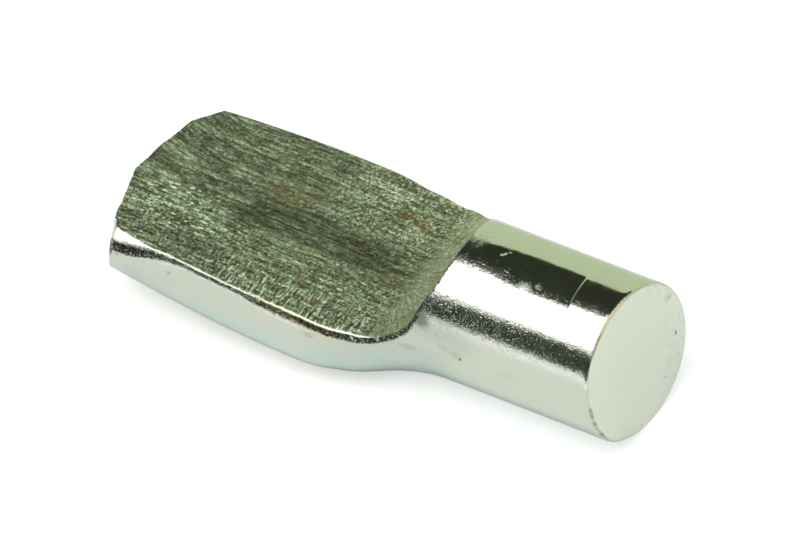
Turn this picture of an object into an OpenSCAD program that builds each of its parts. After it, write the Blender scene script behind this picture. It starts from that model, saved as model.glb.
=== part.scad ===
// Shelf support pin: one piece of steel wire, pressed flat at one end into a paddle that carries the
// shelf. The other end stays round and goes into the hole in the cabinet's side.
// The origin is on the shank's axis at the step. +X runs out along the shank, +Z is the shelf's side.

/* [Shank] */
// Diameter of the shank, which fits the shelf hole
shank_d = 5; // [4:0.1:7]
// Length of the shank from the step to its free end
shank_l = 5.9; // [4:0.1:14]
// Radius on the edge of the free end
shank_edge_r = 0.15; // [0.05:0.05:0.5]

/* [Paddle] */
// Length of the seat from the step to the foremost corner of its end
paddle_l = 12.7; // [9:0.1:20]
// Width over the bulged sides where the paddle is widest
paddle_w = 6.7; // [5.4:0.1:9]
// Thickness between the seat and the underside
paddle_t = 2.2; // [1.4:0.05:2.6]
// Distance from the step to the widest place
widest_x = 5.7; // [4.5:0.1:8]
// How much narrower the paddle is at its end than at its widest place
end_taper = 1.2; // [0.2:0.1:2.4]
// How far the sides stand out past the edges of the seat
side_bulge = 0.3; // [0.1:0.02:0.6]
// Squareness of the pressed section, where 2 is an ellipse
squareness = 3.5; // [2.2:0.1:4.5]
// How much further out the near side is squeezed at the end
near_flare = 0.15; // [0:0.05:0.4]

/* [End of the paddle] */
// Sideways place of the end's foremost corner
tip_y = -0.45; // [-1.2:0.05:1.2]
// Angle by which the end falls back on the far side of that corner
far_angle = 9.5; // [0:0.5:25]
// Angle by which the end falls back on the near side of that corner
near_angle = 19; // [0:0.5:25]
// Part of the far side's width that a third, steeper cut takes off
corner_cut = 0.55; // [0.1:0.05:1.2]
// Angle of that cut
corner_angle = 41; // [30:1:60]
// How far the end bulges at half its thickness
end_bulge = 0.1; // [0.05:0.05:0.6]
// Angle by which the end leans out below the seat
end_lean = 14; // [0:1:30]
// Length, back from the end, over which the near edge of the seat is rolled down
roll_l = 2.4; // [0.5:0.1:4]
// Slope of the rolled edge
roll_angle = 25; // [10:1:45]

/* [Seat and step] */
// Height of the seat above the shank's axis where it meets the step
seat_z = 0.12; // [-0.4:0.01:0.8]
// Angle at which the seat climbs towards the paddle's end
seat_rise = 3.1; // [0:0.1:5]
// Slope of the step's face
step_angle = 67; // [45:1:80]
// Radius in the corner between the seat and the step
step_r = 2.45; // [0.3:0.05:3]
// Angle by which the step runs off square across the shank
step_skew = 3; // [-5:0.5:5]

/* [Neck] */
// Length over which the round shank spreads into the paddle
neck_l = 4.5; // [2.5:0.1:6]
// Distance from the step to the place where the underside starts to drop to the shank
heel_x = 3.2; // [2:0.1:6]
// Slope of the heel under the neck
heel_angle = 16; // [8:1:40]

/* [Hidden] */
skin = 0.01; // the spread wire meets the round shank this much below its surface
lap = 0.4; // how far the spread wire reaches into the shank
spare = 1; // how far cutting shapes run past the metal
ring_points = 72;
paddle_rings = 14;
neck_rings = 30;
arc_steps = 10;
shank_r = shank_d / 2;
root_r = shank_r - skin;

// The step's face runs down from the top of the shank at the origin. The seat and the underside are
// two parallel planes that climb towards the paddle's end.
step_foot_x = -(shank_r - seat_z) / tan(step_angle);
function seat_at(x) = seat_z - tan(seat_rise) * (x - step_foot_x);
function middle_at(x) = seat_at(x) - paddle_t / 2;
function under_at(x) = seat_at(x) - paddle_t;

// Seen from above, each long side is bowed. It is a parabola from the widest place to the end.
side_run = paddle_l - widest_x;
function side_at(x) = paddle_w / 2 - end_taper / 2 * pow((x + widest_x) / side_run, 2);
function edge_at(x) = side_at(x) - side_bulge;

// Towards the end, the near side is squeezed further out than the far side.
function flare_at(x) = near_flare * pow(max(0, (-x - widest_x) / side_run), 4);

// The section of the paddle is a squared ellipse. Its half height is the one that, once cut off at
// the seat and the underside, leaves the sides standing out by side_bulge.
seat_share = 1 - 2 * side_bulge / paddle_w;
press_h = paddle_t / 2 / pow(1 - pow(seat_share, squareness), 1 / squareness);

function mix(a, b, t) = a + (b - a) * t;
function powered(v, p) = sign(v) * pow(abs(v), p);

// Spread runs smoothly from 0 at the shank to 1 where the paddle's own section begins.
function spread_at(x) = let (t = min(1, max(0, -x / neck_l))) t * t * (3 - 2 * t);

// One ring of the wire as the press spreads it, before its two faces are flattened. Its upper and
// lower halves are halves of squared ellipses of their own heights.
function ring(x) =
    let (
        s = spread_at(x),
        half_w = mix(root_r, side_at(x), s),
        mid = mix(0, middle_at(x), s),
        up = mix(root_r, middle_at(x) + press_h, s) - mid,
        down = mid - mix(-root_r, max(middle_at(x) - press_h, -root_r), s),
        p = 2 / mix(2, squareness, pow(s, 3))
    )
    [for (i = [0 : ring_points - 1])
        let (
            t = 360 * i / ring_points,
            out = powered(cos(t), p),
            rise = powered(sin(t), p)
        )
        [
            x,
            out * (out > 0 ? half_w : half_w + flare_at(x)),
            mid + rise * (rise > 0 ? up : down)
        ]];

// Places of the rings, close together in the neck and wide apart along the paddle.
stations = concat(
    [for (i = [0 : paddle_rings - 1]) mix(-paddle_l - spare, -neck_l, i / paddle_rings)],
    [for (i = [0 : neck_rings]) mix(-neck_l, 0, i / neck_rings)],
    [lap]
);

// A closed skin over a row of rings.
module skinned(rings) {
    n = len(rings[0]);
    last = len(rings) - 1;
    sides = [for (j = [0 : last - 1], i = [0 : n - 1], half = [0, 1])
        let (a = j * n + i, b = j * n + (i + 1) % n)
        half == 0 ? [a, a + n, b] : [b, a + n, b + n]];
    polyhedron(
        points = [for (r = rings, q = r) q],
        faces = concat([[for (i = [0 : n - 1]) i]], sides, [[for (i = [n - 1 : -1 : 0]) last * n + i]])
    );
}

module spread_wire() {
    skinned([for (x = stations) ring(x)]);
}

// The round shank, with the edge of its free end broken by a small round.
module shank() {
    core_r = shank_r - shank_edge_r;
    core_l = shank_l - shank_edge_r;
    rotate([0, 90, 0])
        rotate_extrude($fn = 96)
            union() {
                square([shank_r, core_l]);
                square([core_r, shank_l]);
                translate([core_r, core_l])
                    circle(r = shank_edge_r, $fn = 32);
            }
}

// The round in the corner between the seat and the step's face, from one tangent point to the other.
function step_arc() =
    let (
        back = step_r * tan((seat_rise + step_angle) / 2),
        centre = [step_foot_x, seat_z]
            + back * [-cos(seat_rise), sin(seat_rise)]
            + step_r * [sin(seat_rise), cos(seat_rise)]
    )
    [for (i = [0 : arc_steps])
        let (a = mix(-seat_rise, step_angle, i / arc_steps))
        centre + step_r * [sin(a), -cos(a)]];

// The gap between the dies, seen from the side. The upper die forms the seat and the step, and the
// lower one the underside and the heel.
module die_gap() {
    left = -paddle_l - 2 * spare;
    right = shank_l + spare;
    top = shank_r + spare;
    outline = concat(
        [[left, seat_at(left)]],
        step_arc(),
        [
            [spare / tan(step_angle), top],
            [right, top],
            [right, -top],
            [-heel_x + (top + under_at(-heel_x)) / tan(heel_angle), -top],
            [-heel_x, under_at(-heel_x)],
            [left, under_at(left)]
        ]
    );
    rotate([90, 0, step_skew])
        linear_extrude(height = 3 * paddle_w, center = true)
            polygon(outline);
}

// What the rolled edge takes off: all above a slope that falls away outwards. The slope starts from
// the seat at a straight line between two places on the near edge, which the flare leaves behind.
module above_roll() {
    roll_x = paddle_l - roll_l;
    from = [-roll_x, -edge_at(-roll_x)];
    to = [-paddle_l, -edge_at(-paddle_l)];
    reach = 2 * paddle_w;
    translate([from[0], from[1], seat_at(from[0])])
        rotate([0, seat_rise, atan((to[1] - from[1]) / (to[0] - from[0]))])
            rotate([roll_angle, 0, 0])
                translate([-reach, -reach, 0])
                    cube([reach + roll_x - widest_x, 2 * reach, reach]);
}

// All that lies behind one flat of the end. The seat ends at a line through a given point, turned off
// square by angle. Below it the metal leans out and bulges.
module behind_flat(angle, point) {
    reach = point[1] * sin(angle) - point[0] * cos(angle);
    bulge_r = (pow(paddle_t / 2, 2) + pow(end_bulge, 2)) / (2 * end_bulge);
    room = 3 * (paddle_l + shank_l);
    rotate([90, 0, -angle])
        linear_extrude(height = room, center = true)
            translate([-reach, seat_at(-paddle_l)])
                rotate(-end_lean)
                    translate([bulge_r - end_bulge, -paddle_t / 2])
                        union() {
                            circle(r = bulge_r, $fn = 96);
                            translate([0, -room])
                                square([2 * room, 2 * room]);
                        }
}

// The end of the paddle: two flats that meet at the foremost corner, and a cut off the far corner.
module end_trim() {
    tip = [-paddle_l, tip_y];
    cut_y = edge_at(-paddle_l) - corner_cut;
    cut_x = tip[0] + (cut_y - tip_y) * tan(far_angle);
    intersection() {
        behind_flat(far_angle, tip);
        behind_flat(-near_angle, tip);
        behind_flat(corner_angle, [cut_x, cut_y]);
    }
}

module shelf_pin() {
    color([0.72, 0.75, 0.68])
        difference() {
            intersection() {
                union() {
                    spread_wire();
                    shank();
                }
                die_gap();
                end_trim();
            }
            above_roll();
        }
}

shelf_pin();
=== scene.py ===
"""The finished look of the shelf support pin: plated steel wire, pressed flat at one end.

Sizes inside the shaping functions are millimetres, with x along the shank, y across it and z towards the
shelf. They are turned into metres when the mesh is made. The near side is the one at negative y.
"""

import math
from types import SimpleNamespace

import bmesh
import bpy
import numpy as np
from mathutils import Matrix, Vector


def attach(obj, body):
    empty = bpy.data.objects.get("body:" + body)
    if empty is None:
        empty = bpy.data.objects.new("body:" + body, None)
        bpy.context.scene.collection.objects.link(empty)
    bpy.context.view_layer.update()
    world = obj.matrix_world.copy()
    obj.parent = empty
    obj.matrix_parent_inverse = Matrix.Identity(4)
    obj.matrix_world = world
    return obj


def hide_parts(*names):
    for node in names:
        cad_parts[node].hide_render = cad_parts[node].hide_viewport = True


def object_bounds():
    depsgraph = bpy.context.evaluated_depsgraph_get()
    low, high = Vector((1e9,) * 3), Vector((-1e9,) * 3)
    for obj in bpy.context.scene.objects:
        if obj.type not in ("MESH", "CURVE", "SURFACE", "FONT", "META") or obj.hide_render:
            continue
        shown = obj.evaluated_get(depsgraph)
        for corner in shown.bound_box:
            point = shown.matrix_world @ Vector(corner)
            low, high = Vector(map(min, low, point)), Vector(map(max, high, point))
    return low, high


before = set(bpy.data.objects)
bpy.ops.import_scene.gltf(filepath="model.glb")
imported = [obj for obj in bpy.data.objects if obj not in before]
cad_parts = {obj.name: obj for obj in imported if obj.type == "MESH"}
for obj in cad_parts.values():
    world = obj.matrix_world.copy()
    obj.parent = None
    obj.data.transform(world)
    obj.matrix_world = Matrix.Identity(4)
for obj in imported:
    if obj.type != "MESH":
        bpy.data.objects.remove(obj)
cad_low, cad_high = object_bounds()

MM = 0.001

# ---------------------------------------------------------------------------------------------
# Sizes of the pin, as the part is drawn
# ---------------------------------------------------------------------------------------------
SHANK_R = 2.5
SHANK_LENGTH = cad_high.x / MM
SHANK_EDGE_R = 0.15
PADDLE_LENGTH = 12.7
PADDLE_WIDTH = 6.7
PADDLE_THICKNESS = 2.2
WIDEST_X = 5.7
END_TAPER = 1.2
SIDE_BULGE = 0.3
SQUARENESS = 3.5
NEAR_FLARE = 0.15
TIP_Y = -0.45
FAR_ANGLE = math.radians(9.5)
NEAR_ANGLE = math.radians(19)
CORNER_ANGLE = math.radians(41)
CORNER_CUT = 0.55
END_BULGE = 0.1
END_LEAN = math.radians(14)
ROLL_LENGTH = 2.4
SEAT_Z = 0.12
SEAT_RISE = math.radians(3.1)
STEP_ANGLE = math.radians(67)
STEP_R = 2.45
STEP_SKEW = math.radians(3)
NECK_LENGTH = 4.5
HEEL_X = 3.2
HEEL_ANGLE = math.radians(16)
HEEL_SOFTNESS = 0.1

# How softly two pressed surfaces meet, as the height lost at their edge
CREASE_SOFTNESS = 0.045
STEP_SOFTNESS = 0.09
WALL_SOFTNESS = 0.02

# How far the squeezed metal strays from the drawn form
LIP_AT_END = 0.22
LIP_IN_NECK = 0.08
NEAR_PINCH = 0.11
FAR_PINCH = 0.09
FAR_SWELL_BY_STEP = 0.09
FAR_SWELL_BY_NECK = 0.07
FAR_SWELL_AT_END = 0.05
CREST_WEAR = 0.03
CREST_WEAR_LOW_DOWN = 0.16
CREASE_OUT = 0.03
CREASE_RUN_OUT = 0.125
CORNER_OUT = 0.20
CORNER_HOLLOW = 0.06
RAGGED = 0.012

# The free end is cut out of square, further out on its near side. Each pair runs from none of it to all.
FREE_END_LEAN = 0.16
LEAN_ACROSS = (0.4, -2.4)
LEAN_FROM_TOP = (2.2, -0.2)
LEAN_FROM_BOTTOM = (-2.6, -1.3)
LEAN_ALONG = (4.7, 5.75)

# How finely the skin is divided, and how strongly its points crowd where it bends
ROUND_POINTS = 400
END_RINGS = 9
EDGE_RINGS = 5
BEND_PULL = 1.1


def smooth(t):
    t = np.clip(t, 0, 1)
    return t * t * (3 - 2 * t)


def ramp(v, pair):
    """0 at the first value of a pair and 1 at the second, soft at both."""
    return smooth((v - pair[0]) / (pair[1] - pair[0]))


def bell(v, middle, reach):
    """One at the middle, falling away softly on both sides."""
    return np.exp(-((v - middle) / reach) ** 2)


def softer_low(a, b, softness):
    """The lower of two heights, with the edge between them rounded."""
    return (a + b - np.sqrt((a - b) ** 2 + softness ** 2)) / 2


def softer_high(a, b, softness):
    return -softer_low(-a, -b, softness)


def powered(v, p):
    return np.sign(v) * np.abs(v) ** p


# ---------------------------------------------------------------------------------------------
# The wire as the press spreads it
# ---------------------------------------------------------------------------------------------
STEP_FOOT_X = -(SHANK_R - SEAT_Z) / math.tan(STEP_ANGLE)
SIDE_RUN = PADDLE_LENGTH - WIDEST_X
SEAT_SHARE = 1 - 2 * SIDE_BULGE / PADDLE_WIDTH
PRESS_HEIGHT = PADDLE_THICKNESS / 2 / (1 - SEAT_SHARE ** SQUARENESS) ** (1 / SQUARENESS)


def seat_at(x):
    return SEAT_Z - math.tan(SEAT_RISE) * (x - STEP_FOOT_X)


def side_at(x):
    return PADDLE_WIDTH / 2 - END_TAPER / 2 * ((x + WIDEST_X) / SIDE_RUN) ** 2


def flare_at(x):
    return NEAR_FLARE * np.maximum(0, (-x - WIDEST_X) / SIDE_RUN) ** 4


def lip_at(x):
    """How far the upper part of the near side stands out more, at the end and in the neck."""
    at_end = LIP_AT_END * smooth((-9.3 - x) / 2.4)
    in_neck = LIP_IN_NECK * smooth((x + 5.0) / 1.6) * smooth((-0.9 - x) / 1.2)
    return at_end + in_neck


def far_swell_at(x):
    """How far the far side stands out more beside the step and at the end, and less where the neck begins."""
    by_step = FAR_SWELL_BY_STEP * smooth((x + 3.2) / 1.4) * smooth((-0.1 - x) / 1.0)
    at_end = FAR_SWELL_AT_END * smooth((-9.0 - x) / 3.0)
    return by_step + at_end - FAR_PINCH * bell(x, -4.15, 0.65) + FAR_SWELL_BY_NECK * bell(x, -2.1, 0.45)


def wire_at(x, turn):
    """The skin of the spread wire at x, at a turn round its section from the far side upwards."""
    spread = smooth(-x / NECK_LENGTH)
    middle = seat_at(x) - PADDLE_THICKNESS / 2
    centre = middle * spread
    half_width = SHANK_R + (side_at(x) - SHANK_R) * spread
    up = SHANK_R + (middle + PRESS_HEIGHT - SHANK_R) * spread - centre
    down = centre + SHANK_R - (np.maximum(middle - PRESS_HEIGHT, -SHANK_R) + SHANK_R) * spread
    power = 2 / (2 + (SQUARENESS - 2) * spread ** 3)
    out = powered(np.cos(turn), power)
    rise = powered(np.sin(turn), power)
    upper = smooth(rise / 0.7 + 0.5)
    near = flare_at(x) + lip_at(x) * upper - NEAR_PINCH * bell(x, -3.9, 0.65) * (1 - upper)
    y = out * (half_width + np.where(out < 0, near, far_swell_at(x)))
    z = centre + rise * np.where(rise > 0, up, down)
    return y, z


# ---------------------------------------------------------------------------------------------
# The dies
# ---------------------------------------------------------------------------------------------
def upper_die(x, y):
    """Height of the upper die: the seat, the round in the corner and the face of the step."""
    wear = CREST_WEAR + CREST_WEAR_LOW_DOWN * bell(y, -2.0, 0.42)
    x = x * math.cos(STEP_SKEW) + y * math.sin(STEP_SKEW) + wear * smooth((x + 3.2) / 1.2)
    back = STEP_R * math.tan((SEAT_RISE + STEP_ANGLE) / 2)
    centre_x = STEP_FOOT_X - back * math.cos(SEAT_RISE) + STEP_R * math.sin(SEAT_RISE)
    centre_z = SEAT_Z + back * math.sin(SEAT_RISE) + STEP_R * math.cos(SEAT_RISE)
    round_from = centre_x - STEP_R * math.sin(SEAT_RISE)
    round_to = centre_x + STEP_R * math.sin(STEP_ANGLE)
    round_top = centre_z - STEP_R * math.cos(STEP_ANGLE)
    in_round = centre_z - np.sqrt(np.maximum(0, STEP_R ** 2 - (x - centre_x) ** 2))
    in_face = round_top + (x - round_to) * math.tan(STEP_ANGLE)
    return np.where(x < round_from, seat_at(x), np.where(x < round_to, in_round, in_face))


def lower_die(x):
    """Height of the lower die: the underside, and the heel that drops away to the shank."""
    under = seat_at(x) - PADDLE_THICKNESS
    heel = seat_at(-HEEL_X) - PADDLE_THICKNESS - math.tan(HEEL_ANGLE) * (x + HEEL_X)
    return softer_low(under, heel, HEEL_SOFTNESS)


# Along the near side the seat ends at a crease. Towards the paddle's end the crease runs straight to the
# corner, and the metal outside it is rolled down. These rows give the place, how steep the roll starts,
# its radius and how crisp the crease is.
ROLL_X = [-12.0, -10.2, -9.0, -7.0, -5.6, -4.6, -3.6, -1.6]
ROLL_START = np.radians([14, 38, 41, 42, 42, 43, 40, 38])
ROLL_R = [1.05, 0.95, 0.60, 0.65, 1.1, 1.2, 0.95, 0.8]
ROLL_CRISP = [0.005, 0.016, 0.018, 0.020, 0.022, 0.035, 0.04, 0.03]
ROLL_STEEPEST = 0.95  # sine of the slope at which the round gives way to a flank
ROLL_FLANK = 3  # fall of that flank for each millimetre outwards


def natural_crease(x):
    """Sideways place where the spread wire comes out from under the upper die on the near side."""
    turn = np.linspace(math.pi / 2, math.pi, 900)
    places = []
    for each in x:
        y, z = wire_at(each, turn)
        proud = z - upper_die(each, y)
        places.append(np.interp(0, -proud, y) if proud[0] > 0 else 0.3)
    return np.array(places)


TABLE_X = np.arange(-15, 0.31, 0.03)
CREASE_TABLE = natural_crease(TABLE_X)


def crease_at(x):
    """Sideways place of the crease, which leaves the natural one in a straight line to the corner."""
    natural = np.interp(x, TABLE_X, CREASE_TABLE) + CREASE_OUT
    roll_from = -PADDLE_LENGTH + ROLL_LENGTH
    line = np.interp(roll_from, TABLE_X, CREASE_TABLE) + CREASE_OUT + CREASE_RUN_OUT * (roll_from - x)
    return np.where(x < roll_from, line, natural)


def rolled_edge(x, y, upper):
    """Height of the near edge, a round that falls away outwards from the crease and ends at the step."""
    start = np.interp(x, ROLL_X, ROLL_START)
    r = np.interp(x, ROLL_X, ROLL_R)
    away = crease_at(x) - y
    steep = np.clip(np.sin(start) + away / r, -1, ROLL_STEEPEST)
    drop = r * (np.cos(start) - np.sqrt(1 - steep ** 2))
    past = np.maximum(0, away - r * (ROLL_STEEPEST - np.sin(start)))
    drop = np.where(away > 0, drop + ROLL_FLANK * past, np.tan(start) * away)
    return upper - drop + 4 * smooth((x + 1.7) / 0.7)


def pressed(x, turn):
    """A point of the pressed skin, and how far the wire stood proud of the dies there."""
    y, z = wire_at(x, turn)
    upper = upper_die(x, y)
    at_step = smooth((x + 2.4) / 1.0)
    top = softer_low(z, upper, CREASE_SOFTNESS + (STEP_SOFTNESS - CREASE_SOFTNESS) * at_step)
    far_top = softer_low(z, upper, WALL_SOFTNESS + (STEP_SOFTNESS - WALL_SOFTNESS) * at_step)
    top = np.where(y > 0.5, far_top, top)
    rolled = rolled_edge(x, y, upper)
    near = (y < 0) & (x < -1.0)
    crisp = np.interp(x, ROLL_X, ROLL_CRISP)
    shaped = softer_low(softer_low(upper, rolled, crisp), z, WALL_SOFTNESS)
    top = np.where(near, shaped + (top - shaped) * smooth((x + 1.9) / 0.9), top)
    lower = lower_die(x)
    outside = np.where(near, (y - crease_at(x)) * 0.7, 9.0)
    proud = np.maximum(np.minimum(z - upper, outside), lower - z)
    proud = np.where(y > 0, proud + 0.05, proud)
    return y, softer_high(top, lower, CREASE_SOFTNESS), proud


# ---------------------------------------------------------------------------------------------
# Points round the skin, crowded where it bends
# ---------------------------------------------------------------------------------------------
def spaced_turns(x):
    """Turns round the section at x, evenly spaced along the skin but closer where it bends."""
    turn = np.linspace(-math.pi / 2, 1.5 * math.pi, 4801)
    y, z, _ = pressed(np.full(len(turn), x), turn)
    step = np.hypot(np.diff(y), np.diff(z))
    heading = np.unwrap(np.arctan2(np.diff(z), np.diff(y)))
    bend = np.abs(np.diff(heading, append=heading[-1]))
    run = np.concatenate([[0], np.cumsum(step + BEND_PULL * np.minimum(bend, 0.2))])
    return np.interp(np.linspace(0, run[-1], ROUND_POINTS + 1), run, turn)


TURN_TABLE = np.array([spaced_turns(x) for x in TABLE_X])


def turn_at(x, around):
    """Turns of the numbered points at x, between the two nearest rows of the table."""
    place = np.clip((x - TABLE_X[0]) / (TABLE_X[1] - TABLE_X[0]), 0, len(TABLE_X) - 1.001)
    low = place.astype(int)
    part = place - low
    return TURN_TABLE[low, around] * (1 - part) + TURN_TABLE[low + 1, around] * part


def end_at(y, z):
    """Place of the paddle's end: two flats that meet at the foremost corner and a cut far corner."""
    below = np.clip(seat_at(-PADDLE_LENGTH) - z, 0, PADDLE_THICKNESS)
    out = below * math.tan(END_LEAN)
    out = out + END_BULGE * (1 - (2 * below / PADDLE_THICKNESS - 1) ** 2)
    down = below / PADDLE_THICKNESS
    out = out + smooth((-1.7 - y) / 0.9) * (CORNER_OUT * down ** 2 - CORNER_HOLLOW * np.sin(math.pi * down))
    out = out + 0.06 * bell(y, 0.65, 0.35) + 0.04 * bell(y, -2.15, 0.25) - 0.07 * smooth((-2.4 - y) / 0.4)
    cut_y = side_at(-PADDLE_LENGTH) - SIDE_BULGE - CORNER_CUT
    cut_x = -PADDLE_LENGTH + (cut_y - TIP_Y) * math.tan(FAR_ANGLE)
    far = -PADDLE_LENGTH + (y - TIP_Y) * math.tan(FAR_ANGLE) - out / math.cos(FAR_ANGLE)
    near = -PADDLE_LENGTH - (y - TIP_Y) * math.tan(NEAR_ANGLE) - out / math.cos(NEAR_ANGLE)
    corner = cut_x + (y - cut_y) * math.tan(CORNER_ANGLE) - out / math.cos(CORNER_ANGLE)
    ragged = RAGGED * np.sin(9 * y + 1.3) * np.sin(23 * y) * np.clip(1 - 2 * below, 0, 1)
    return softer_high(softer_high(far, near, 0.01), corner, 0.01) + ragged


# ---------------------------------------------------------------------------------------------
# Dents and marks in the metal
# ---------------------------------------------------------------------------------------------
# each dent has its place, its reach and its depth, and a negative depth is a burr
DENTS = [
    ((1.30, 0.28, 2.48), (0.08, 0.10, 0.3), 0.040),
    ((1.46, 0.20, 2.49), (0.07, 0.07, 0.3), -0.020),
    ((1.53, 0.34, 2.47), (0.05, 0.04, 0.3), -0.012),
    ((1.38, 0.24, 2.48), (0.17, 0.17, 0.3), -0.010),
    ((0.35, 1.00, 2.30), (0.50, 0.55, 0.5), 0.022),
    ((-6.22, -3.06, 0.39), (0.07, 0.09, 0.2), 0.05),
    ((-4.9, -3.0, 0.32), (0.14, 0.10, 0.2), 0.015),
    ((-8.3, -2.95, 0.5), (0.2, 0.08, 0.2), 0.012),
    ((-9.7, -2.87, 0.55), (0.12, 0.08, 0.2), 0.012),
    ((5.9, 1.87, -0.53), (0.3, 0.06, 0.13), 0.05),
]
# the scratch across the shank's top, and the rubbed flat that runs up to it
SCRATCH_X = 4.36
SCRATCH_SLANT = 0.33
FLAT_DEPTH = 0.04
FLAT_TURN = math.radians(92)
FLAT_REACH = math.radians(12.5)


def dented(p, n):
    """Points pushed inwards along their normals by each dent that they lie in."""
    for place, reach, depth in DENTS:
        off = (p - np.array(place)) / np.array(reach)
        p = p - n * (depth * np.exp(-np.sum(off ** 2, axis=1)))[:, None]
    return p


def shank_radius(x, turn):
    """The top of the shank is rubbed a little flat as far as a scratch across it."""
    scratch = SCRATCH_X + SCRATCH_SLANT * (turn - math.pi / 2)
    rubbed = smooth((x - 0.6) / 2.2) * smooth((scratch - x) / 0.05)
    return SHANK_R - FLAT_DEPTH * bell(turn, FLAT_TURN, FLAT_REACH) * rubbed


# ---------------------------------------------------------------------------------------------
# The skin of the pin, ring by ring from the middle of the paddle's end to the shank's free end
# ---------------------------------------------------------------------------------------------
# Dirt with painted shade lies just outside the near edge of the seat and outside the crest of the step.
# These rows give the place along the pin, where it starts and ends below the edge, and how thick it is.
DIRT_AND_SHADE_X = [-13.3, -11.8, -11.0, -10.3, -9.4, -8.0, -5.5, -4.6, -3.5, -2.6, -1.8, -0.9, -0.3, 0.1]
DIRT_AND_SHADE_FROM = [0.46, 0.44, 0.28, 0.10, 0.07, 0.07, 0.08, 0.08, 0.09, 0.07, 0.0, -0.03, -0.03, -0.03]
DIRT_AND_SHADE_TO = [0.82, 0.78, 0.60, 0.34, 0.20, 0.12, 0.13, 0.22, 0.28, 0.28, 0.20, 0.19, 0.13, 0.09]
DIRT_AND_SHADE_SHARE = [1.0, 1.0, 0.95, 0.8, 0.55, 0.35, 0.5, 0.75, 0.9, 0.95, 0.9, 0.9, 0.8, 0.7]


def dirt_and_shade_at(x, y, z, proud):
    """Dirt and painted shade round one ring, by the distance from the seat's edge or from the step's crest.
    """
    run = np.concatenate([[0], np.cumsum(np.hypot(np.diff(y), np.diff(z)))])
    near = np.nonzero((y[:-1] < -0.3) & (z[:-1] > -0.9) & (proud[:-1] > 0))[0]
    below = run - run[near[-1]] if len(near) else np.full(len(y), 9.0)
    slope = (upper_die(x + 0.02, y) - upper_die(x - 0.02, y)) / 0.04
    climb = np.abs(np.gradient(z)) / np.maximum(1e-6, np.hypot(np.gradient(y), np.gradient(z)))
    outside = (upper_die(x, y) - z) / np.maximum(0.1, np.hypot(climb, slope))
    below = below + (outside - below) * smooth((x + 2.4) / 0.6)
    start = np.interp(x, DIRT_AND_SHADE_X, DIRT_AND_SHADE_FROM)
    end = np.interp(x, DIRT_AND_SHADE_X, DIRT_AND_SHADE_TO)
    share = np.interp(x, DIRT_AND_SHADE_X, DIRT_AND_SHADE_SHARE) * smooth((0.9 - y) / 0.5) * smooth((z + 1.4) / 0.3)
    return share * smooth((below - start + 0.03) / 0.06) * smooth((end + 0.06 - below) / 0.12)


AROUND = np.arange(ROUND_POINTS + 1)
CLEAN = np.zeros(len(AROUND))
UNPRESSED = np.full(len(AROUND), -1.0)
LEANS_PAST = 8.5  # beyond this distance from the step, rings lean more and more like the paddle's end


def body_ring(x):
    """A ring round the paddle or the neck: its points, how far the wire stood proud, and the dirt and painted
    shade on it.
    """
    pull = smooth((-LEANS_PAST - x) / (PADDLE_LENGTH - LEANS_PAST))
    here = np.full(len(AROUND), float(x))
    for _ in range(8):
        y, z, proud = pressed(here, turn_at(here, AROUND))
        here = x + (end_at(y, z) + PADDLE_LENGTH) * pull
    return np.stack([here, y, z], 1), proud, dirt_and_shade_at(here, y, z, proud)


def end_rings():
    """The paddle's end, out from its middle, and its rounded edge, which is widest at the near side."""
    outline, proud, dirt_and_shade = body_ring(-PADDLE_LENGTH)
    middle_z = outline[:, 2].mean()
    step = np.roll(outline[:-1, 1:], -1, 0) - np.roll(outline[:-1, 1:], 1, 0)
    inward = np.stack([-step[:, 1], step[:, 0]], 1)
    inward /= np.linalg.norm(inward, axis=1)[:, None]
    inward = np.concatenate([inward, inward[:1]])
    on_side = smooth((-2.2 - outline[:, 1]) / 0.45)
    high_up = smooth((outline[:, 2] + 0.5) / 0.7)
    edge_r = 0.025 + (0.02 + 0.13 * high_up) * on_side
    # dirt with painted shade along the near corner of the paddle's end
    corner_dirt_and_shade = 0.7 * on_side * high_up * smooth((0.62 - outline[:, 2]) / 0.15)
    edge = outline[:, 1:] + inward * edge_r[:, None]
    rings = []
    for share in np.linspace(0, 1, END_RINGS):
        y = edge[:, 0] * share
        z = middle_z + (edge[:, 1] - middle_z) * share
        rings.append((np.stack([end_at(y, z), y, z], 1), UNPRESSED, CLEAN))
    for angle in np.radians(90 / (EDGE_RINGS + 1) * np.arange(1, EDGE_RINGS + 1)):
        flat = outline[:, 1:] + inward * (edge_r * (1 - math.sin(angle)))[:, None]
        x = end_at(flat[:, 0], flat[:, 1]) + edge_r * (1 - math.cos(angle))
        rings.append((np.stack([x, flat[:, 0], flat[:, 1]], 1), UNPRESSED, corner_dirt_and_shade))
    first = outline.copy()
    first[:, 0] += edge_r
    rings.append((first, proud - on_side * high_up, np.maximum(corner_dirt_and_shade * 0.5, dirt_and_shade)))
    return rings


def body_rings():
    """The paddle and the neck, with rings closest together where the step climbs."""
    spacing = 0.045
    stations = np.concatenate([
        np.linspace(-PADDLE_LENGTH + 0.3, -10.0, 22),
        np.linspace(-10.0, -4.6, 30)[1:],
        np.linspace(-4.6, -2.8, 20)[1:],
        np.arange(-2.8 + spacing, 0.25, spacing),
    ])
    return [body_ring(x) for x in stations]


def round_ring(x, r, turn):
    """A ring round the shank or on its free end."""
    y, z = r * np.cos(turn), r * np.sin(turn)
    lean = FREE_END_LEAN * ramp(y, LEAN_ACROSS) * ramp(z, LEAN_FROM_TOP) * ramp(z, LEAN_FROM_BOTTOM)
    reached = min(max((x - LEAN_ALONG[0]) / (LEAN_ALONG[1] - LEAN_ALONG[0]), 0), 1)
    return np.stack([x + lean * reached, y, z], 1), UNPRESSED, CLEAN


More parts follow.
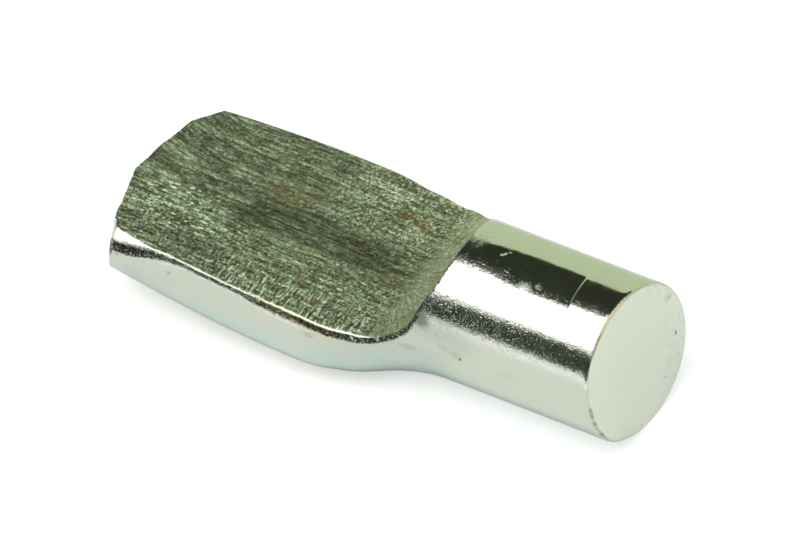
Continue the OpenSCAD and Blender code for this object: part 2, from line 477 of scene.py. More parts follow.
def shank_rings(neck_end):
    """The shank from the last ring of the neck, closest together at its dents and its scratch."""
    turn = np.arctan2(neck_end[:, 2], neck_end[:, 1])
    body_end = SHANK_LENGTH - SHANK_EDGE_R
    stations = np.concatenate([
        np.arange(neck_end[0, 0] + 0.08, 1.0, 0.1),
        np.arange(1.0, 1.8, 0.04),
        np.arange(1.8, 4.25, 0.16),
        np.arange(4.25, 4.55, 0.02),
        np.arange(4.6, body_end - 0.05, 0.15),
    ])
    rings = [round_ring(x, shank_radius(x, turn), turn) for x in stations]
    for angle in np.radians(np.linspace(0, 90, 8)):
        x = body_end + SHANK_EDGE_R * math.sin(angle)
        rings.append(round_ring(x, SHANK_R - SHANK_EDGE_R * (1 - math.cos(angle)), turn))
    for share in np.linspace(1, 0, 14)[1:]:
        rings.append(round_ring(SHANK_LENGTH, (SHANK_R - SHANK_EDGE_R) * share, turn))
    return rings


def make_pin():
    """The skin is one grid, rolled up ring by ring and closed at its seam and at both ends."""
    rings = end_rings() + body_rings()
    rings = rings + shank_rings(rings[-1][0])
    last = len(rings) - 1
    bm = bmesh.new()
    pressed_layer = bm.verts.layers.float.new("pressed")
    grime_and_shade_layer = bm.verts.layers.float.new("grime_and_shade")
    rim_layer = bm.verts.layers.float.new("rim")
    cut_layer = bm.verts.layers.float.new("cut")
    bmesh.ops.create_grid(bm, x_segments=last, y_segments=ROUND_POINTS, size=1)
    for v in bm.verts:
        j = round((v.co.x + 1) / 2 * last)
        i = round((v.co.y + 1) / 2 * ROUND_POINTS) % ROUND_POINTS
        place, proud, grime_and_shade = rings[j]
        v.co = Vector(place[i])
        v[pressed_layer] = float(np.clip(proud[i] / 0.06 + 0.5, 0, 1))
        v[grime_and_shade_layer] = float(grime_and_shade[i])
        v[rim_layer] = float(np.clip(place[i][1] - crease_at(place[i][0]), -1, 9))
        v[cut_layer] = float(j < END_RINGS)
    bmesh.ops.remove_doubles(bm, verts=bm.verts, dist=0.0002)
    bmesh.ops.recalc_face_normals(bm, faces=bm.faces)
    bm.normal_update()
    co = np.array([v.co for v in bm.verts])
    normal = np.array([v.normal for v in bm.verts])
    for v, p in zip(bm.verts, dented(co, normal)):
        v.co = Vector(p)
    bmesh.ops.scale(bm, vec=(MM, MM, MM), verts=bm.verts)
    for f in bm.faces:
        f.smooth = True
    return placed("plated_pin", bm)


def placed(name, bm):
    """A new object at the origin with the bmesh as its mesh."""
    mesh = bpy.data.meshes.new(name)
    bm.to_mesh(mesh)
    bm.free()
    made = bpy.data.objects.new(name, mesh)
    bpy.context.collection.objects.link(made)
    return made


# ---------------------------------------------------------------------------------------------
# Materials
# ---------------------------------------------------------------------------------------------
class Nodes:
    """Short names for the shader nodes of a material or a world."""

    def __init__(self, owner, output="ShaderNodeOutputMaterial"):
        owner.use_nodes = True
        self.tree = owner.node_tree
        self.tree.nodes.clear()
        self.surface = self.add(output).inputs["Surface"]

    def lay_out(self):
        """Patterns are laid out in millimetres, on the piece's own places."""
        self.place = self.scaled(self.add("ShaderNodeTexCoord").outputs["Object"], (1 / MM, 1 / MM, 1 / MM))
        self.x, self.y, self.z = self.split(self.place)

    def add(self, kind, **values):
        node = self.tree.nodes.new(kind)
        for key, value in values.items():
            setattr(node, key, value)
        return node

    def put(self, socket, value):
        if isinstance(value, bpy.types.NodeSocket):
            self.tree.links.new(value, socket)
        else:
            socket.default_value = value

    def math(self, operation, a, b=0.0, c=0.0, clamp=False):
        node = self.add("ShaderNodeMath", operation=operation, use_clamp=clamp)
        self.put(node.inputs[0], a)
        self.put(node.inputs[1], b)
        self.put(node.inputs[2], c)
        return node.outputs[0]

    def times(self, *values):
        result = values[0]
        for value in values[1:]:
            result = self.math("MULTIPLY", result, value)
        return result

    def plus(self, *values):
        result = values[0]
        for value in values[1:]:
            result = self.math("ADD", result, value)
        return result

    def vector(self, operation, a, b=(0, 0, 0)):
        node = self.add("ShaderNodeVectorMath", operation=operation)
        self.put(node.inputs[0], a)
        self.put(node.inputs[1], b)
        return node.outputs["Value" if operation == "LENGTH" else "Vector"]

    def scaled(self, vector, scale):
        return self.vector("MULTIPLY", vector, scale)

    def laid(self, turn, along, across):
        """Places turned about z and then divided by a grain's length and its two widths."""
        node = self.add("ShaderNodeMapping")
        self.put(node.inputs["Vector"], self.place)
        node.inputs["Rotation"].default_value = (0, 0, math.radians(-turn))
        return self.scaled(node.outputs[0], (1 / along, 1 / across, 1 / across))

    def noise(self, at, scale=1.0, detail=2.0, roughness=0.5, distortion=0.0):
        node = self.add("ShaderNodeTexNoise")
        self.put(node.inputs["Vector"], at)
        node.inputs["Scale"].default_value = scale
        node.inputs["Detail"].default_value = detail
        node.inputs["Roughness"].default_value = roughness
        node.inputs["Distortion"].default_value = distortion
        return node.outputs["Fac"]

    def flecks(self, at, share, size):
        """Short strokes, one in some of the cells of a pattern: 1 on a stroke and 0 between."""
        cells = self.add("ShaderNodeTexVoronoi", feature="F1", voronoi_dimensions="3D")
        self.put(cells.inputs["Vector"], at)
        cells.inputs["Scale"].default_value = 1.0
        chance, strength, reach = self.split(cells.outputs["Color"])
        there = self.math("LESS_THAN", chance, share)
        reach = self.math("MULTIPLY_ADD", reach, size * 0.6, size * 0.5)
        stroke = self.math("SUBTRACT", 1.0, self.math("DIVIDE", cells.outputs["Distance"], reach), clamp=True)
        stroke = self.ramp(stroke, 0.0, 0.35)
        return self.times(there, stroke, self.math("MULTIPLY_ADD", strength, 0.7, 0.3))

    def ramp(self, value, low, high, start=0.0, end=1.0):
        node = self.add("ShaderNodeMapRange", interpolation_type="SMOOTHSTEP")
        self.put(node.inputs["Value"], value)
        node.inputs["From Min"].default_value = low
        node.inputs["From Max"].default_value = high
        node.inputs["To Min"].default_value = start
        node.inputs["To Max"].default_value = end
        return node.outputs["Result"]

    def mix(self, share, a, b):
        node = self.add("ShaderNodeMix", data_type="FLOAT")
        self.put(node.inputs["Factor"], share)
        self.put(node.inputs[2], a)
        self.put(node.inputs[3], b)
        return node.outputs[0]

    def blend(self, share, a, b):
        node = self.add("ShaderNodeMix", data_type="RGBA")
        self.put(node.inputs["Factor"], share)
        self.put(node.inputs[6], a)
        self.put(node.inputs[7], b)
        return node.outputs[2]

    def attribute(self, name):
        return self.add("ShaderNodeAttribute", attribute_name=name).outputs["Fac"]

    def split(self, vector):
        node = self.add("ShaderNodeSeparateXYZ")
        self.put(node.inputs[0], vector)
        return node.outputs

    def join(self, x, y, z):
        node = self.add("ShaderNodeCombineXYZ")
        for socket, value in zip(node.inputs, (x, y, z)):
            self.put(socket, value)
        return node.outputs[0]

    def most(self, *values):
        result = values[0]
        for value in values[1:]:
            result = self.math("MAXIMUM", result, value)
        return result

    def off(self, value, middle):
        """How far a value is from a middle one."""
        return self.math("ABSOLUTE", self.plus(value, -middle))

    def length(self, x, y, z):
        return self.vector("LENGTH", self.join(x, y, z))

    def lit(self, kind, strength, colour=(1, 1, 1)):
        """The output of an Emission or a Background."""
        node = self.add(kind)
        node.inputs["Color"].default_value = (*colour, 1)
        self.put(node.inputs["Strength"], strength)
        return node.outputs[0]

    def spot(self, place, reach, ragged, raggedness):
        """1 in the middle of a ragged spot, falling to 0 at its reach."""
        away = self.vector("LENGTH", self.vector("DIVIDE", self.vector("SUBTRACT", self.place, place), reach))
        away = self.plus(away, self.times(self.math("SUBTRACT", ragged, 0.5), raggedness))
        return self.ramp(away, 0.15, 1.0, 1.0, 0.0)

    def spots(self, rows, ragged, raggedness):
        """The strongest of some ragged spots, each with its place, its reach and its strength."""
        share = 0.0
        for place, reach, strength in rows:
            share = self.most(share, self.times(self.spot(place, reach, ragged, raggedness), strength))
        return share


# Spots of rust on the seat, stains on the plate and dull scuffs on the shank's top, each with its place, its
# reach and its strength. The nick in the free end and the tongue of painted shade by the step have a place
# and a reach.
RUST = [
    ((-7.8, 0.80, 0.5), (1.1, 0.62, 0.6), 0.68),
    ((-6.9, 1.1, 0.4), (0.8, 0.35, 0.6), 0.5),
    ((-9.0, 1.95, 0.5), (0.5, 0.25, 0.6), 0.4),
    ((-4.1, 1.8, 0.3), (0.6, 0.4, 0.6), 0.75),
    ((-3.3, 1.6, 0.3), (0.6, 0.4, 0.6), 0.65),
    ((-1.9, 1.6, 0.3), (0.5, 0.4, 0.5), 0.8),
    ((-1.0, 1.35, 0.9), (0.4, 0.3, 0.5), 0.7),
    ((-4.6, -2.35, 0.3), (0.45, 0.22, 0.6), 0.65),
    ((-3.5, 1.9, 0.3), (0.3, 0.3, 0.6), 0.6),
    ((-5.3, -1.9, 0.4), (0.5, 0.25, 0.6), 0.5),
    ((-3.4, -2.3, 0.3), (0.9, 0.3, 0.6), 0.4),
    ((-2.7, 0.5, 0.2), (0.7, 0.3, 0.6), 0.5),
    ((-10.4, -1.5, 0.6), (0.3, 0.2, 0.4), 0.5),
]
STAINS = [
    ((1.12, -2.46, 0.41), (0.09, 0.3, 0.12), 0.9),
    ((0.98, -2.46, 0.5), (0.40, 0.5, 0.24), 0.18),
    ((0.90, -2.46, 0.52), (0.16, 0.4, 0.08), 0.25),
    ((-0.9, -2.53, 0.15), (0.45, 0.5, 0.16), 0.22),
    ((0.5, -2.45, 0.6), (0.3, 0.5, 0.18), 0.14),
    ((2.9, -2.4, 0.45), (0.5, 0.5, 0.14), 0.10),
    ((-4.2, -3.2, -0.1), (0.3, 0.4, 0.14), 0.3),
    ((-9.6, -3.05, 0.1), (0.14, 0.4, 0.10), 0.35),
    ((-11.55, -3.05, 0.10), (0.08, 0.3, 0.08), 1.0),
    ((5.9, 1.45, -0.65), (0.2, 0.04, 0.04), 0.6),
    ((5.9, 0.95, -1.55), (0.2, 0.05, 0.05), 0.6),
    ((5.9, -0.55, -2.2), (0.2, 0.05, 0.05), 0.7),
    ((5.9, 2.0, 0.9), (0.2, 0.25, 0.15), 0.3),
]
NICK = ((5.9, 1.87, -0.53), (0.3, 0.055, 0.15))
SHADE_TONGUE = ((-0.35, -2.16, 1.2), (0.5, 0.32, 0.42))
SCUFFS = [
    ((0.30, 0.55, 2.44), (0.40, 0.60, 0.30), 0.35),
    ((2.70, -0.50, 2.46), (0.34, 0.20, 0.20), 0.45),
    ((3.10, -0.38, 2.48), (0.22, 0.14, 0.20), 0.40),
]

# Colours of the plate, of the free end's face, of what lies on the plate, and of the pressed seat
PLATE = (0.79, 0.825, 0.735, 1)
# painted reflection: bluish where the plate low down mirrors the shaded floor beneath the pin
PAINTED_UNDERSIDE_REFLECTION = (0.70, 0.845, 0.83, 1)
GREY_FILM = (0.82, 0.81, 0.76, 1)
NECK_SHADE = (0.42, 0.48, 0.46, 1)
CREST_SHADE = (0.42, 0.48, 0.42, 1)
# painted shade: a dark tongue reaching towards the step's lower corner
PAINTED_TONGUE_SHADE = (0.115, 0.165, 0.115, 1)
SAWN_GREEN = (0.915, 0.975, 0.85, 1)
SAWN_PALE = (0.935, 0.99, 0.87, 1)
# painted shade: the far part of the bent face a little darker
SAWN_FAR_SHADE = (0.90, 0.975, 0.86, 1)
SAWN_LOW = (0.985, 1.0, 0.935, 1)
BRUSH_LINE = (0.76, 0.82, 0.74, 1)
MOTTLE = (0.60, 0.60, 0.46, 1)
STAIN = (0.22, 0.15, 0.08, 1)
NICK_SHADE = (0.03, 0.03, 0.02, 1)
RIM_BROWN = (0.30, 0.235, 0.14, 1)
# painted highlight: the thin golden line along the top of the free end's rounded rim
PAINTED_RIM_HIGHLIGHT = (0.80, 0.71, 0.47, 1)
SCUFF = (0.33, 0.36, 0.26, 1)
GILT = (0.84, 0.78, 0.50, 1)
# dirt with painted shade: the dark band under the near crease and by the step's crest
DIRT_AND_SHADE = (0.040, 0.046, 0.032, 1)
# painted glints on the seat
GLINT = (0.86, 1.0, 0.74, 1)
RUST_BROWN = (0.235, 0.155, 0.050, 1)
# rust where a painted glint falls on it
GLINTING_RUST = (0.60, 0.42, 0.17, 1)


def seat_zones(n):
    """Where each kind of marking lies on the seat."""
    x, y = n.x, n.y
    on_step = n.ramp(x, -2.7, -1.9)
    by_rim = n.times(n.ramp(n.attribute("rim"), 1.35, 0.6), n.ramp(x, -9.4, -7.4))
    by_end = n.times(n.ramp(x, -8.4, -9.6), n.ramp(x, -12.6, -11.2, 0.4, 1.0),
                     n.ramp(n.off(y, -1.05), 1.2, 0.5))
    by_neck = n.times(n.ramp(x, -7.4, -5.0), n.ramp(y, -0.2, 1.4))
    middle_lane = n.times(n.ramp(n.off(y, -0.05), 0.85, 0.25), n.ramp(x, -9.6, -7.8), n.ramp(x, -2.4, -3.8))
    near_lane = n.times(n.ramp(n.off(y, -2.2), 0.6, 0.2), 0.6, n.ramp(x, -10.6, -9.6), n.ramp(x, -7.4, -8.4))
    return SimpleNamespace(on_step=on_step, by_rim=by_rim, by_end=by_end, by_neck=by_neck,
                           lane=n.most(middle_lane, near_lane))


def seat_relief(n, zones, grain):
    """Long fibres along the paddle, which fan out a little towards its end, and rays up the step."""
    x, y = n.x, n.y
    fan = n.most(n.math("SUBTRACT", -9.5, x), 0.0)
    fan = n.math("MULTIPLY_ADD", n.times(fan, fan), 0.022, 1.0)
    spread_y = n.math("DIVIDE", n.plus(y, 1.0), fan)
    line = n.noise(n.join(n.times(x, 0.45), n.times(spread_y, 8.5), 0.0), 1.0, 3.0, 0.65, 0.15)
    dash = n.noise(n.join(n.times(x, 1.8), n.times(spread_y, 12.0), 5.0), 1.0, 2.0, 0.6, 0.3)
    wide = n.noise(n.join(n.times(x, 0.4), n.times(spread_y, 2.2), 9.0), 1.0, 2.0, 0.6, 0.3)
    across = n.noise(n.laid(93, 0.42, 0.085), 1.0, 2.0, 0.6, 0.3)
    ray_x, ray_y = n.plus(x, 3.3), n.plus(y, 0.2)
    bearing = n.times(n.math("ARCTAN2", ray_y, ray_x), 30.0)
    away = n.length(ray_x, ray_y, 0.0)
    rays = n.noise(n.join(bearing, n.times(away, 2.0), 0.0), 1.0, 3.0, 0.6, 0.3)

    def part(pattern, share):
        return n.times(n.math("SUBTRACT", pattern, 0.5), share)

    coarse = n.most(zones.by_neck, n.ramp(y, -0.3, -1.6))
    flat = n.plus(
        part(line, n.mix(zones.by_rim, 0.50, 0.25)),
        part(dash, n.mix(zones.by_neck, 0.60, 0.3)),
        part(wide, 0.35),
        part(grain, n.mix(coarse, 0.50, 1.05)),
        part(across, n.times(zones.by_rim, 0.80)),
    )
    return n.mix(zones.on_step, flat, n.plus(part(rays, 0.42), part(grain, 0.40)))


def seat_tone(n, zones, height):
    """Green-grey, dark in the hollows and bright on the ridges, with darker lanes along the seat."""
    light = n.times(n.ramp(n.y, 0.2, 1.8), n.ramp(n.x, -8.0, -4.5))
    zone = n.plus(n.times(zones.on_step, 0.85), n.times(light, 0.35), n.times(zones.by_end, 0.15),
                  n.times(zones.lane, -0.85), n.times(zones.by_rim, -0.22))
    tone = n.times(n.math("POWER", 2.0, zone), n.math("POWER", 400.0, height))
    red = n.times(n.math("POWER", tone, 1.03), n.mix(zones.on_step, 0.181, 0.190))
    green = n.times(tone, n.mix(zones.on_step, 0.232, 0.226))
    blue = n.times(n.math("POWER", tone, 1.10), n.mix(zones.on_step, 0.124, 0.132))
    return n.vector("MINIMUM", n.join(red, green, blue), (0.9, 0.95, 0.8))


def seat_glints(n, zones):
    """Painted glints: bright dashes along the paddle by its end, strokes square to the rim beside it,
    and curls elsewhere.
    """
    along = n.flecks(n.laid(5, 0.26, 0.085), 0.5, 0.52)
    strokes = n.flecks(n.laid(95, 0.46, 0.085), 0.62, 0.5)
    curls = n.flecks(n.scaled(n.place, (6.5, 9.5, 7.0)), 0.6, 0.5)
    glint = n.times(along, n.plus(0.05, n.times(zones.by_end, 1.0)))
    glint = n.most(glint, n.times(strokes, zones.by_rim))
    curl_share = n.plus(0.35, n.times(zones.by_neck, 0.35), n.times(zones.by_rim, 0.3))
    glint = n.most(glint, n.times(curls, curl_share))
    return n.times(glint, n.ramp(zones.on_step, 0.0, 1.0, 1.0, 0.15), n.ramp(zones.lane, 0.0, 1.0, 1.0, 0.55),
                   n.mix(zones.by_end, 0.8, 1.0))


def rust_share(n):
    """Rust lies in specks between the fibres, in spots and as freckles."""
    blotch = n.noise(n.laid(2, 0.45, 0.25), 1.0, 3.0, 0.7)
    speck = n.noise(n.laid(2, 0.13, 0.07), 1.0, 2.0, 0.6)
    freckles = n.times(n.ramp(n.noise(n.place, 1.6, 3.0, 0.7), 0.50, 0.66),
                       n.ramp(n.x, -8.0, -3.5, 0.10, 0.5))
    return n.times(n.most(n.spots(RUST, blotch, 1.2), freckles), n.ramp(speck, 0.42, 0.58, 0.25, 1.1))


def bare_plate(n, fine):
    """The plate, with a painted bluish reflection of the shaded floor low down, painted shade under the neck,
    a tongue of painted shade by the step and painted shade beside the step's crest.
    """
    x, y, z = n.x, n.y, n.z
    # painted reflection of the shaded floor beneath: bluish low down, and reaching higher by the neck
    low_down = n.plus(z, n.times(fine, 0.3), n.times(n.ramp(n.off(x, -0.9), 2.2, 0.4), -0.45))
    plate = n.blend(n.ramp(low_down, 0.1, -1.3), PLATE, PAINTED_UNDERSIDE_REFLECTION)
    plate = n.blend(n.ramp(n.noise(n.place, 0.9, 2.0), 0.45, 0.7, 0.0, 0.5), plate, GREY_FILM)
    by_neck = n.times(n.ramp(x, -5.5, -1.6), n.ramp(x, 1.6, -0.4), n.ramp(z, 0.8, 0.1), 0.26)
    plate = n.blend(by_neck, plate, NECK_SHADE)
    # painted shade in a tongue by the step's lower corner
    plate = n.blend(n.spot(*SHADE_TONGUE, fine, 0.5), plate, PAINTED_TONGUE_SHADE)
    by_crest = n.times(n.ramp(x, 2.2, 0.6), n.ramp(x, -1.4, -0.6), n.ramp(z, 0.3, 1.0),
                       n.ramp(y, -1.3, -1.9), 0.34)
    return n.blend(by_crest, plate, CREST_SHADE)


def sawn_face(n, fine):
    """The free end's face, with the saw's arcs, brushed lines, painted shade on its far part
    and mottling on its far side.
    """
    y, z = n.y, n.z
    arcs = n.noise(n.join(n.length(0.0, n.plus(y, 3.0), n.plus(z, -0.6)), 0.0, 0.0), 2.6, 3.0, 0.6)
    face = n.blend(n.ramp(arcs, 0.3, 0.7), SAWN_GREEN, SAWN_PALE)
    # painted shade on the far part of the face, beyond a soft diagonal line
    face = n.blend(n.ramp(n.plus(y, n.times(z, -0.25), n.times(fine, 0.2)), 0.1, 0.9), face, SAWN_FAR_SHADE)
    face = n.blend(n.ramp(z, 0.8, -2.3), face, SAWN_LOW)
    lengthways = n.times(n.plus(n.times(y, 0.35), z), 1.2)
    crossways = n.times(n.plus(y, n.times(z, -0.35)), 9.0)
    brushed = n.noise(n.join(lengthways, crossways, 0.0), 1.0, 3.0, 0.7)
    face = n.blend(n.ramp(brushed, 0.5, 0.72, 0.0, 0.22), face, BRUSH_LINE)
    mottle = n.times(n.ramp(n.noise(n.place, 4.5, 4.0, 0.7), 0.54, 0.70), n.ramp(y, 0.5, 1.7), 0.42)
    return n.blend(mottle, face, MOTTLE)


def free_end_marks(n, fine, squared):
    """How brown the free end's rim is, and where a golden highlight is painted on its top.
    Squared is x with the end's lean taken off.
    """
    outer = n.length(0.0, n.y, n.z)
    on_edge = n.times(n.ramp(squared, 5.79, 5.85), n.ramp(outer, 2.37, 2.43))
    patchy = n.times(on_edge, n.ramp(n.noise(n.place, 2.5, 3.0, 0.7), 0.36, 0.60, 0.2, 0.9))
    bearing = n.times(n.math("ARCTAN2", n.z, n.times(n.y, -1.0)), 180 / math.pi)
    on_top = n.times(n.ramp(bearing, 40, 55), n.ramp(bearing, 105, 92))
    on_near_side = n.times(n.ramp(bearing, -34, -24), n.ramp(bearing, 14, 4))
    brown = n.times(patchy, n.plus(0.12, n.times(n.most(on_top, on_near_side), 0.8)))
    # painted highlight along the top of the rounded rim
    golden_highlight = n.times(n.ramp(squared, 5.80, 5.84), n.ramp(outer, 2.38, 2.42), n.ramp(bearing, 62, 70),
                     n.ramp(bearing, 108, 96), n.ramp(fine, 0.35, 0.5, 0.5, 1.0))
    return brown, golden_highlight


def gilt_share(n, fine):
    """A golden line under the near crease."""
    return n.times(n.ramp(n.attribute("rim"), -0.26, -0.14), n.ramp(n.x, -7.0, -5.6), n.ramp(n.x, -2.9, -3.6),
                   n.ramp(n.y, -1.5, -2.2), n.ramp(n.z, -0.25, 0.0), n.ramp(fine, 0.35, 0.55, 0.4, 0.85))


def dirt_and_shade_share(n, fine):
    """Gritty dirt with painted shade under the crease and outside the step's crest, with bare specks in it.
    """
    grime_and_shade = n.attribute("grime_and_shade")
    grit = n.noise(n.place, 15.0, 3.0, 0.75)
    dirt_and_shade = n.ramp(n.plus(grime_and_shade, n.times(n.math("SUBTRACT", grit, 0.5), 2.4)), 0.15, 0.85)
    bare = n.flecks(n.scaled(n.place, (8.0, 11.0, 9.0)), 0.24, 0.5)
    return n.times(dirt_and_shade, n.ramp(grime_and_shade, 0.0, 0.25), n.ramp(fine, 0.56, 0.66, 1.0, 0.4),
                   n.math("SUBTRACT", 1.0, bare))


def plate_relief(n, fine, near_side, by_step, scuff, on_end, cut):
    """Orange peel, and pits and pimples that are strongest on the near side by the neck."""
    peel = n.noise(n.scaled(n.place, (0.7, 1.0, 1.0)), 2.4, 2.0, 0.5)
    pits = n.ramp(n.noise(n.place, 17.0, 2.0, 0.6), 0.58, 0.70)
    specks = n.flecks(n.scaled(n.place, (4.0, 4.0, 4.0)), 0.10, 0.16)
    pimples = n.times(n.flecks(n.scaled(n.place, (8.0, 8.0, 8.0)), 0.5, 0.5), n.ramp(n.y, 0.4, -0.3))
    height = n.times(n.plus(n.times(fine, 0.9), n.times(pits, 0.6)), near_side, by_step)
    height = n.plus(height, n.times(specks, n.ramp(n.y, 1.2, 0.6), 1.5))
    height = n.plus(height, n.times(pimples, by_step, 0.9), n.times(scuff, fine, 5.0))
    height = n.plus(height, n.times(fine, 0.18), n.times(peel, 0.9))
    height = n.times(height, n.mix(on_end, 1.0, 0.25))
    streaks = n.noise(n.join(n.times(n.x, 1.5), n.times(n.y, 9.0), n.times(n.z, 1.1)), 1.0, 3.0, 0.65)
    return n.plus(height, n.times(cut, streaks, 4.0))


def worn_plating():
    """Bright plate on the wire, and on the pressed faces a rough skin with fibres, painted glints and rust.
    """
    material = bpy.data.materials.new("worn_plating")
    n = Nodes(material)
    n.lay_out()
    pressed_share = n.attribute("pressed")
    cut = n.attribute("cut")
    fine = n.noise(n.place, 13.0, 2.0, 0.6)

    # the seat
    zones = seat_zones(n)
    grain = n.noise(n.place, 11.0, 2.0, 0.65, 0.8)
    seat_height = seat_relief(n, zones, grain)
    glint = seat_glints(n, zones)
    # painted glints on the seat
    seat = n.blend(glint, seat_tone(n, zones, seat_height), GLINT)
    # rust, brighter orange where a painted glint falls on it
    seat = n.blend(rust_share(n), seat, n.blend(glint, RUST_BROWN, GLINTING_RUST))

    # the plate
    lean = n.times(n.ramp(n.y, *LEAN_ACROSS), n.ramp(n.z, *LEAN_FROM_TOP), n.ramp(n.z, *LEAN_FROM_BOTTOM),
                   FREE_END_LEAN)
    squared = n.math("SUBTRACT", n.x, lean)
    on_end = n.ramp(squared, 5.86, 5.89)
    brown, golden_highlight = free_end_marks(n, fine, squared)
    scuff = n.times(n.spots(SCUFFS, fine, 1.6),
                    n.ramp(n.noise(n.place, 8.0, 3.0, 0.7), 0.40, 0.60, 0.25, 1.0))
    dirt_and_shade = dirt_and_shade_share(n, fine)
    plate = n.blend(on_end, bare_plate(n, fine), sawn_face(n, fine))
    plate = n.blend(n.spots(STAINS, fine, 0.8), plate, STAIN)
    plate = n.blend(n.spot(*NICK, fine, 0.4), plate, NICK_SHADE)
    plate = n.blend(brown, plate, RIM_BROWN)
    # painted highlight on the free end's rim
    plate = n.blend(golden_highlight, plate, PAINTED_RIM_HIGHLIGHT)
    plate = n.blend(scuff, plate, SCUFF)
    plate = n.blend(gilt_share(n, fine), plate, GILT)
    # dirt with painted shade under the near crease and outside the step's crest
    plate = n.blend(dirt_and_shade, plate, DIRT_AND_SHADE)

    # the relief of both
    near_side = n.ramp(n.y, 0.5, -0.9)
    by_step = n.ramp(n.x, 5.5, 0.0, 0.45, 1.0)
    plate_height = plate_relief(n, fine, near_side, by_step, scuff, on_end, cut)
    seat_height = n.plus(n.times(seat_height, 0.024), n.times(glint, 0.002))
    bump = n.add("ShaderNodeBump")
    bump.inputs["Strength"].default_value = 1.0
    bump.inputs["Distance"].default_value = MM
    n.put(bump.inputs["Height"], n.mix(pressed_share, n.times(plate_height, 0.004), seat_height))

    # the painted highlight and the scuffs are dull and not metal
    dull = n.most(golden_highlight, scuff)
    plate_rough = n.plus(n.ramp(n.noise(n.place, 3.0, 3.0), 0.3, 0.8, 0.08, 0.15),
                         n.times(near_side, by_step, 0.05))
    plate_rough = n.mix(n.most(on_end, cut), plate_rough, 0.28)
    plate_rough = n.mix(n.most(dirt_and_shade, dull), plate_rough, 0.4)
    seat_rough = n.mix(glint, n.ramp(grain, 0.3, 0.7, 0.30, 0.46), 0.4)
    plate_metal = n.math("SUBTRACT", 1.0, dull)
    shader = n.add("ShaderNodeBsdfPrincipled")
    n.put(shader.inputs["Metallic"], n.mix(pressed_share, plate_metal, n.mix(glint, 0.5, 0.0)))
    n.put(shader.inputs["Base Color"], n.blend(pressed_share, plate, seat))
    n.put(shader.inputs["Roughness"], n.mix(pressed_share, plate_rough, seat_rough))
    n.put(shader.inputs["Normal"], bump.outputs[0])
    n.put(n.surface, shader.outputs[0])
    return material


# ---------------------------------------------------------------------------------------------
# Studio: a level pale floor, a soft lamp above, and the panels that bright metal mirrors
# ---------------------------------------------------------------------------------------------
# Sizes are metres. Angles are degrees up from the near horizon, as seen from the pin.
LAMP_HEIGHT = 0.4
LAMP_ANGLES = (51, 96)
LAMP_LENGTH = 0.9
LAMP_STRENGTH = 1.55
CEILING_ANGLES = (99, 148)
FRONT_ANGLES = (12.5, 44)
FRONT_Y = -0.7
WALL_Y = 0.9
WALL_HEIGHTS = (-0.4, 0.56)
PANEL_REACH = 3.0
PANEL_GREEN = (0.540, 0.625, 0.420)
CEILING_DARK = (0.027, 0.032, 0.020)
FRONT_DARK = (0.038, 0.050, 0.030)


def floor_finish():
    """Pale paint, lifted to white for the camera so that only the pin's shadow shows."""
    material = bpy.data.materials.new("pale_floor")
    n = Nodes(material)
    n.lay_out()
    paint = n.add("ShaderNodeBsdfDiffuse")
    tone = n.ramp(n.noise(n.place, 0.04, 2.0), 0.3, 0.7)
    n.put(paint.inputs["Color"], n.blend(tone, (0.80, 0.82, 0.78, 1), (0.83, 0.85, 0.81, 1)))
    seen = n.add("ShaderNodeLightPath").outputs["Is Camera Ray"]
    both = n.add("ShaderNodeAddShader")
    n.put(both.inputs[0], paint.outputs[0])
    n.put(both.inputs[1], n.lit("ShaderNodeEmission", n.times(seen, 0.50)))
    n.put(n.surface, both.outputs[0])
    return material


def make_floor():
    bm = bmesh.new()
    bmesh.ops.create_grid(bm, x_segments=1, y_segments=1, size=PANEL_REACH)
    bmesh.ops.translate(bm, vec=(0, 0, cad_low.z), verts=bm.verts)
    floor = placed("floor", bm)
    floor.data.materials.append(floor_finish())


def overhead(angle):
    """Sideways place of a line at the lamp's height, at an angle up from the near horizon."""
    return -LAMP_HEIGHT / math.tan(math.radians(angle))


def make_lamp():
    near, far = map(overhead, LAMP_ANGLES)
    lamp = bpy.data.lights.new("soft_lamp", "AREA")
    lamp.shape = "RECTANGLE"
    lamp.size = LAMP_LENGTH
    lamp.size_y = far - near
    lamp.energy = LAMP_STRENGTH * math.pi * lamp.size * lamp.size_y
    lamp.color = (1.0, 1.0, 0.97)
    lamp_object = bpy.data.objects.new("soft_lamp", lamp)
    lamp_object.location = (0, (near + far) / 2, LAMP_HEIGHT)
    bpy.context.collection.objects.link(lamp_object)


def make_panel(name, near, far, colour, to_x=PANEL_REACH):
    """A flat panel between a near and a far line, each a y and a z. Only mirrors see it."""
    bm = bmesh.new()
    corners = [(-PANEL_REACH, *near), (to_x, *near), (to_x, *far), (-PANEL_REACH, *far)]
    bm.faces.new([bm.verts.new(Vector(c)) for c in corners])
    panel = placed(name, bm)
    material = bpy.data.materials.new(name)
    n = Nodes(material)
    n.put(n.surface, n.lit("ShaderNodeEmission", 1.0, colour))
    panel.data.materials.append(material)
    panel.visible_camera = False
    panel.visible_diffuse = False
    panel.visible_shadow = False
    panel.visible_transmission = False


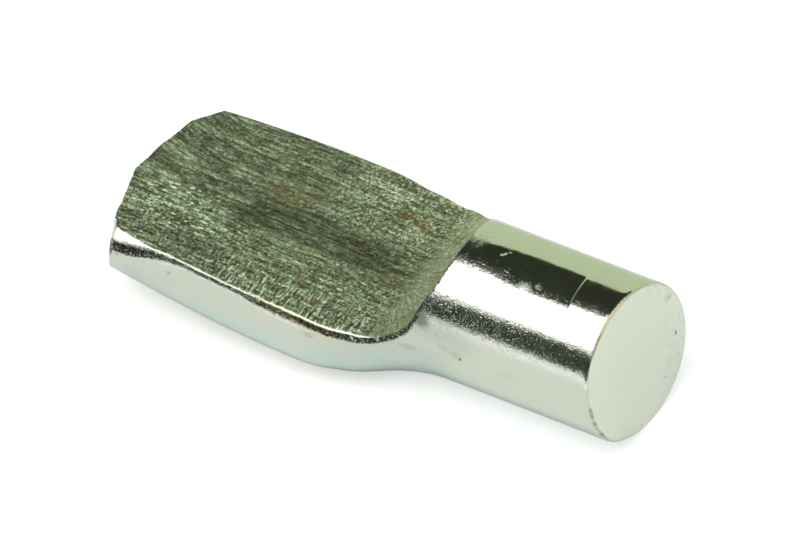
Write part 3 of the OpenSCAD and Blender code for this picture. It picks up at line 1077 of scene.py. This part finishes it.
def make_panels():
    near, far = map(overhead, CEILING_ANGLES)
    make_panel("dark_ceiling", (near, LAMP_HEIGHT), (far, LAMP_HEIGHT), CEILING_DARK)
    make_panel("green_wall", (WALL_Y, WALL_HEIGHTS[0]), (WALL_Y, WALL_HEIGHTS[1]), PANEL_GREEN)
    sheet_z = cad_low.z + 0.1 * MM
    make_panel("green_sheet", (cad_high.y * 2.6, sheet_z), (WALL_Y, sheet_z), PANEL_GREEN, cad_high.x)
    low_z, high_z = (-FRONT_Y * math.tan(math.radians(angle)) for angle in FRONT_ANGLES)
    make_panel("dark_front", (FRONT_Y, low_z), (FRONT_Y, high_z), FRONT_DARK)


def make_surroundings():
    """Soft light all round, which the camera and mirrors see as plain white."""
    world = bpy.data.worlds.new("studio")
    bpy.context.scene.world = world
    n = Nodes(world, "ShaderNodeOutputWorld")
    path = n.add("ShaderNodeLightPath").outputs
    seen = n.most(path["Is Camera Ray"], path["Is Glossy Ray"], path["Is Transmission Ray"])
    either = n.add("ShaderNodeMixShader")
    n.put(either.inputs[0], seen)
    n.put(either.inputs[1], n.lit("ShaderNodeBackground", 0.45))
    n.put(either.inputs[2], n.lit("ShaderNodeBackground", 1.0))
    n.put(n.surface, either.outputs[0])


# ---------------------------------------------------------------------------------------------
# Camera
# ---------------------------------------------------------------------------------------------
TOWARDS_CAMERA = Vector((0.537, -0.4717, 0.6994))
CAMERA_ROLL = math.radians(-17.44)
LOOK_AT = Vector((-3.425, 0.278, -0.524))
FRAME_WIDTH = 24.06
LENS = 1100


def make_camera():
    """A long lens, above the near side and past the free end, rolled a little."""
    back = TOWARDS_CAMERA.normalized()
    level = Vector((0, 0, 1)).cross(back).normalized()
    raised = back.cross(level)
    right = level * math.cos(CAMERA_ROLL) + raised * math.sin(CAMERA_ROLL)
    up = back.cross(right)
    camera = bpy.data.cameras.new("camera")
    camera.lens = LENS
    camera.sensor_width = 36
    distance = FRAME_WIDTH * MM * camera.lens / camera.sensor_width
    camera_object = bpy.data.objects.new("camera", camera)
    turned = Matrix((right, up, back)).transposed().to_4x4()
    camera_object.matrix_world = Matrix.Translation(LOOK_AT * MM + back * distance) @ turned
    camera.clip_start, camera.clip_end = 0.01, 10
    bpy.context.collection.objects.link(camera_object)
    bpy.context.scene.camera = camera_object


pin = make_pin()
pin.data.materials.append(worn_plating())
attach(pin, "root")
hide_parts("shelf_pin")

make_floor()
make_lamp()
make_panels()
make_surroundings()
make_camera()
bpy.context.scene.view_settings.view_transform = "Standard"
